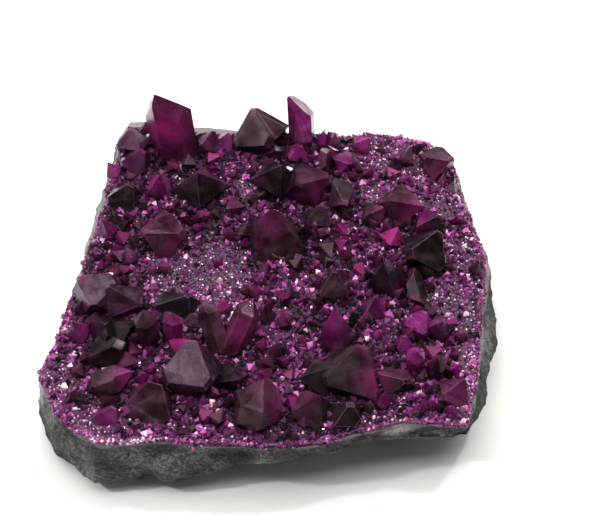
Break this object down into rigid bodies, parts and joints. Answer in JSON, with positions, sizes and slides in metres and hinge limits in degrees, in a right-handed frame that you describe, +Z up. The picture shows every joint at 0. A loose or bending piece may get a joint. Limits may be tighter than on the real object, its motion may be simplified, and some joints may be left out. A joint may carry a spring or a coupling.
{
  "type": "kammererite mineral specimen",
  "caption": "Loose mineral specimen: a grey-green rock slab, flat below, with a sparkling purple crust and dark purple pointed crystals on top.",
  "frame": {"origin": "middle of the bounding box, on the surface that the specimen stands on", "axes": "+Z up, +X to the right side in the picture, +Y to the back"},
  "size_m": [0.0902, 0.0862, 0.033],
  "materials": {
    "rock": "rough broken grey-green rock",
    "crust": "sparkling fine-grained purple crust",
    "crystal_maroon": "clear maroon crystal",
    "crystal_dark": "nearly black crystal",
    "crystal_magenta": "clear magenta crystal",
    "crystal_grey": "grey-brown striped crystal",
    "crystal_pale": "purple crystal with frosted pale faces"
  },
  "bodies": {
    "root": {"matrix_rock": "rock", "druse_crust": "crust", "tall_point": "crystal_maroon", "pale_crystal_back_left": "crystal_pale", "rim_crystal_back_left": "crystal_magenta", "dark_octahedron": "crystal_dark", "purple_crystal_left": "crystal_magenta", "flat_dark_crystal": "crystal_dark", "rim_crystal_left": "crystal_magenta", "plate_pair_back": "crystal_magenta", "block_with_magenta_foot": "crystal_maroon", "large_pyramid": "crystal_maroon", "leaning_grey_crystal": "crystal_grey", "spire": "crystal_magenta", "bright_crystal_back": "crystal_magenta", "dark_twin": "crystal_dark", "grey_crystal_middle": "crystal_grey", "thin_blade": "crystal_grey", "purple_plate": "crystal_magenta", "rim_pair_back": "crystal_magenta", "rim_crystal_back": "crystal_magenta", "leaf_crystal": "crystal_grey", "magenta_cornered_crystal": "crystal_maroon", "magenta_pair": "crystal_magenta", "rim_crystal_back_right": "crystal_maroon", "dark_crystal_right": "crystal_dark", "dark_block": "crystal_dark", "dark_pyramid_right": "crystal_dark", "striped_blade": "crystal_grey", "kite": "crystal_magenta", "striped_gem": "crystal_magenta", "brown_facet_crystal": "crystal_grey", "wedge": "crystal_grey", "magenta_prism": "crystal_magenta", "dark_prism": "crystal_dark", "bright_crystal_right": "crystal_magenta", "mauve_facet_right": "crystal_grey", "square_facet_pair": "crystal_magenta", "striped_gem_right": "crystal_magenta", "magenta_faced_crystal": "crystal_magenta", "dull_crystal_middle": "crystal_maroon", "mauve_crystal_front": "crystal_grey", "mauve_crystal_front_right": "crystal_grey", "pale_topped_crystal": "crystal_pale", "purple_crystal_front_left": "crystal_magenta", "dark_crystals_left": "crystal_dark", "maroon_point": "crystal_maroon", "magenta_point": "crystal_magenta", "long_dark_crystal": "crystal_dark", "clear_crystal": "crystal_pale", "frosted_block": "crystal_pale", "dark_crystal_front": "crystal_dark", "v_shaped_pair": "crystal_maroon", "crystal_with_magenta_tip": "crystal_maroon", "small_magenta_crystal": "crystal_magenta", "dull_facet_crystal": "crystal_maroon", "magenta_lump_front_left": "crystal_magenta", "front_maroon_point": "crystal_maroon", "magenta_crystal_middle": "crystal_magenta", "magenta_crystal_front": "crystal_magenta"}
  },
  "joints": []
}
